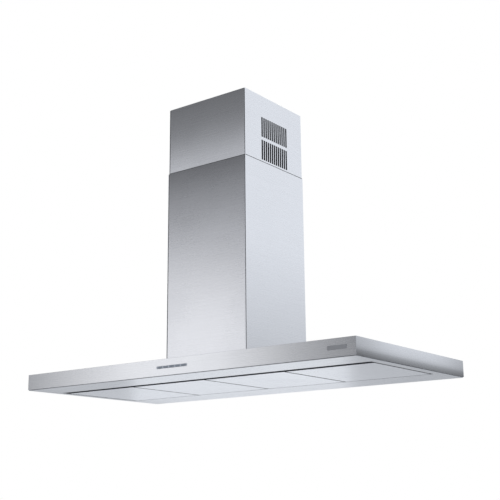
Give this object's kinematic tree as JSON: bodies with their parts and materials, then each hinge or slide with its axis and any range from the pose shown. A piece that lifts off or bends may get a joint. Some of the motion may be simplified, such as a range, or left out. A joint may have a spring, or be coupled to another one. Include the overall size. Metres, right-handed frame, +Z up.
{
  "type": "island range hood",
  "caption": "Ceiling-hung kitchen extractor: a wide flat steel canopy with hinged underside panels, push buttons and a telescopic square chimney with side vent slots.",
  "frame": {"origin": "centre of the ceiling plate's top face, in the plane of the ceiling", "axes": "+Z up, +X along the canopy's long side to the right seen from the front, -Y out of the front with the push buttons"},
  "size_m": [1.2, 0.601, 0.875],
  "materials": {
    "brushed_steel": "satin",
    "galvanised": "satin",
    "aluminium": "satin",
    "mesh": "satin",
    "zinc_screw": "satin",
    "shaft_steel": "polished",
    "motor_case": "satin",
    "black_plastic": "matte",
    "wire_sheath": "matte",
    "lens": "satin",
    "bezel": "satin",
    "key": "satin",
    "circuit_board": "satin",
    "badge": "satin"
  },
  "bodies": {
    "ceiling_mount": {"ceiling_plate": "galvanised", "upper_upright_1": "galvanised", "upper_upright_2": "galvanised", "upper_upright_3": "galvanised", "upper_upright_4": "galvanised", "brace_plate": "galvanised", "upper_chimney_front": "brushed_steel", "upper_chimney_rear": "brushed_steel", "air_deflector": "black_plastic", "upper_duct": "aluminium", "upright_screws": "zinc_screw"},
    "canopy": {"badge_plate": "badge", "cable_gland": "black_plastic", "canopy_screws": "zinc_screw", "canopy_shell": "brushed_steel", "canopy_tray": "brushed_steel", "capacitor": "black_plastic", "control_bezel": "bezel", "control_board": "circuit_board", "electronics_box": "black_plastic", "filter_frame_1": "aluminium", "filter_frame_2": "aluminium", "filter_frame_3": "aluminium", "filter_frame_4": "aluminium", "filter_meshes": "mesh", "filter_rack": "galvanised", "led_lens": "lens", "led_strip": "aluminium", "lower_chimney_front": "brushed_steel", "lower_chimney_rear": "brushed_steel", "lower_duct": "aluminium", "lower_upright_1": "galvanised", "lower_upright_2": "galvanised", "lower_upright_3": "galvanised", "lower_upright_4": "galvanised", "motor": "motor_case", "motor_box": "galvanised", "motor_bracket": "galvanised", "outlet_collar": "black_plastic", "scroll_left": "aluminium", "scroll_right": "aluminium", "telescope_bolts": "zinc_screw", "wiring_loom": "wire_sheath"},
    "panel_1": {"access_panel_1": "brushed_steel"},
    "panel_2": {"access_panel_2": "brushed_steel"},
    "panel_3": {"access_panel_3": "brushed_steel"},
    "panel_4": {"access_panel_4": "brushed_steel"},
    "latch_1": {"filter_latch_1": "black_plastic"},
    "latch_2": {"filter_latch_2": "black_plastic"},
    "latch_3": {"filter_latch_3": "black_plastic"},
    "latch_4": {"filter_latch_4": "black_plastic"},
    "key_1": {"button_1": "key"},
    "key_2": {"button_2": "key"},
    "key_3": {"button_3": "key"},
    "key_4": {"button_4": "key"},
    "key_5": {"button_5": "key"},
    "fan": {"fan_wheel": "galvanised", "fan_shaft": "shaft_steel"},
    "flap_front": {"damper_flap_front": "aluminium"},
    "flap_rear": {"damper_flap_rear": "aluminium"}
  },
  "joints": [
    {"name": "chimney_telescope", "type": "slide", "parent": "ceiling_mount", "child": "canopy", "axis": [0, 0, -1], "range_m": [0, 0.2]},
    {"name": "access_panel_1_swing", "type": "hinge", "parent": "canopy", "child": "panel_1", "pos_m": [-0.426, 0.1535, -0.869], "axis": [1, 0, 0], "range_deg": [0, 90]},
    {"name": "access_panel_2_swing", "type": "hinge", "parent": "canopy", "child": "panel_2", "pos_m": [-0.142, 0.1535, -0.869], "axis": [1, 0, 0], "range_deg": [0, 90]},
    {"name": "access_panel_3_swing", "type": "hinge", "parent": "canopy", "child": "panel_3", "pos_m": [0.142, 0.1535, -0.869], "axis": [1, 0, 0], "range_deg": [0, 90]},
    {"name": "access_panel_4_swing", "type": "hinge", "parent": "canopy", "child": "panel_4", "pos_m": [0.426, 0.1535, -0.869], "axis": [1, 0, 0], "range_deg": [0, 90]},
    {"name": "damper_front_swing", "type": "hinge", "parent": "canopy", "child": "flap_front", "pos_m": [0, -0.003, -0.545], "axis": [-1, 0, 0], "range_deg": [0, 75]},
    {"name": "damper_rear_swing", "type": "hinge", "parent": "canopy", "child": "flap_rear", "pos_m": [0, 0.003, -0.545], "axis": [1, 0, 0], "range_deg": [0, 75]},
    {"name": "fan_spin", "type": "hinge", "parent": "canopy", "child": "fan", "pos_m": [0, -0.025, -0.706], "axis": [1, 0, 0], "continuous": true},
    {"name": "filter_latch_1_slide", "type": "slide", "parent": "canopy", "child": "latch_1", "axis": [0, 1, 0], "range_m": [0, 0.007], "stiffness_N_per_m": 300, "springref_m": -0.006},
    {"name": "filter_latch_2_slide", "type": "slide", "parent": "canopy", "child": "latch_2", "axis": [0, 1, 0], "range_m": [0, 0.007], "stiffness_N_per_m": 300, "springref_m": -0.006},
    {"name": "filter_latch_3_slide", "type": "slide", "parent": "canopy", "child": "latch_3", "axis": [0, 1, 0], "range_m": [0, 0.007], "stiffness_N_per_m": 300, "springref_m": -0.006},
    {"name": "filter_latch_4_slide", "type": "slide", "parent": "canopy", "child": "latch_4", "axis": [0, 1, 0], "range_m": [0, 0.007], "stiffness_N_per_m": 300, "springref_m": -0.006},
    {"name": "push_button_1_press", "type": "slide", "parent": "canopy", "child": "key_1", "axis": [0, 1, 0], "range_m": [0, 0.0015], "stiffness_N_per_m": 600, "springref_m": -0.001},
    {"name": "push_button_2_press", "type": "slide", "parent": "canopy", "child": "key_2", "axis": [0, 1, 0], "range_m": [0, 0.0015], "stiffness_N_per_m": 600, "springref_m": -0.001},
    {"name": "push_button_3_press", "type": "slide", "parent": "canopy", "child": "key_3", "axis": [0, 1, 0], "range_m": [0, 0.0015], "stiffness_N_per_m": 600, "springref_m": -0.001},
    {"name": "push_button_4_press", "type": "slide", "parent": "canopy", "child": "key_4", "axis": [0, 1, 0], "range_m": [0, 0.0015], "stiffness_N_per_m": 600, "springref_m": -0.001},
    {"name": "push_button_5_press", "type": "slide", "parent": "canopy", "child": "key_5", "axis": [0, 1, 0], "range_m": [0, 0.0015], "stiffness_N_per_m": 600, "springref_m": -0.001}
  ]
}
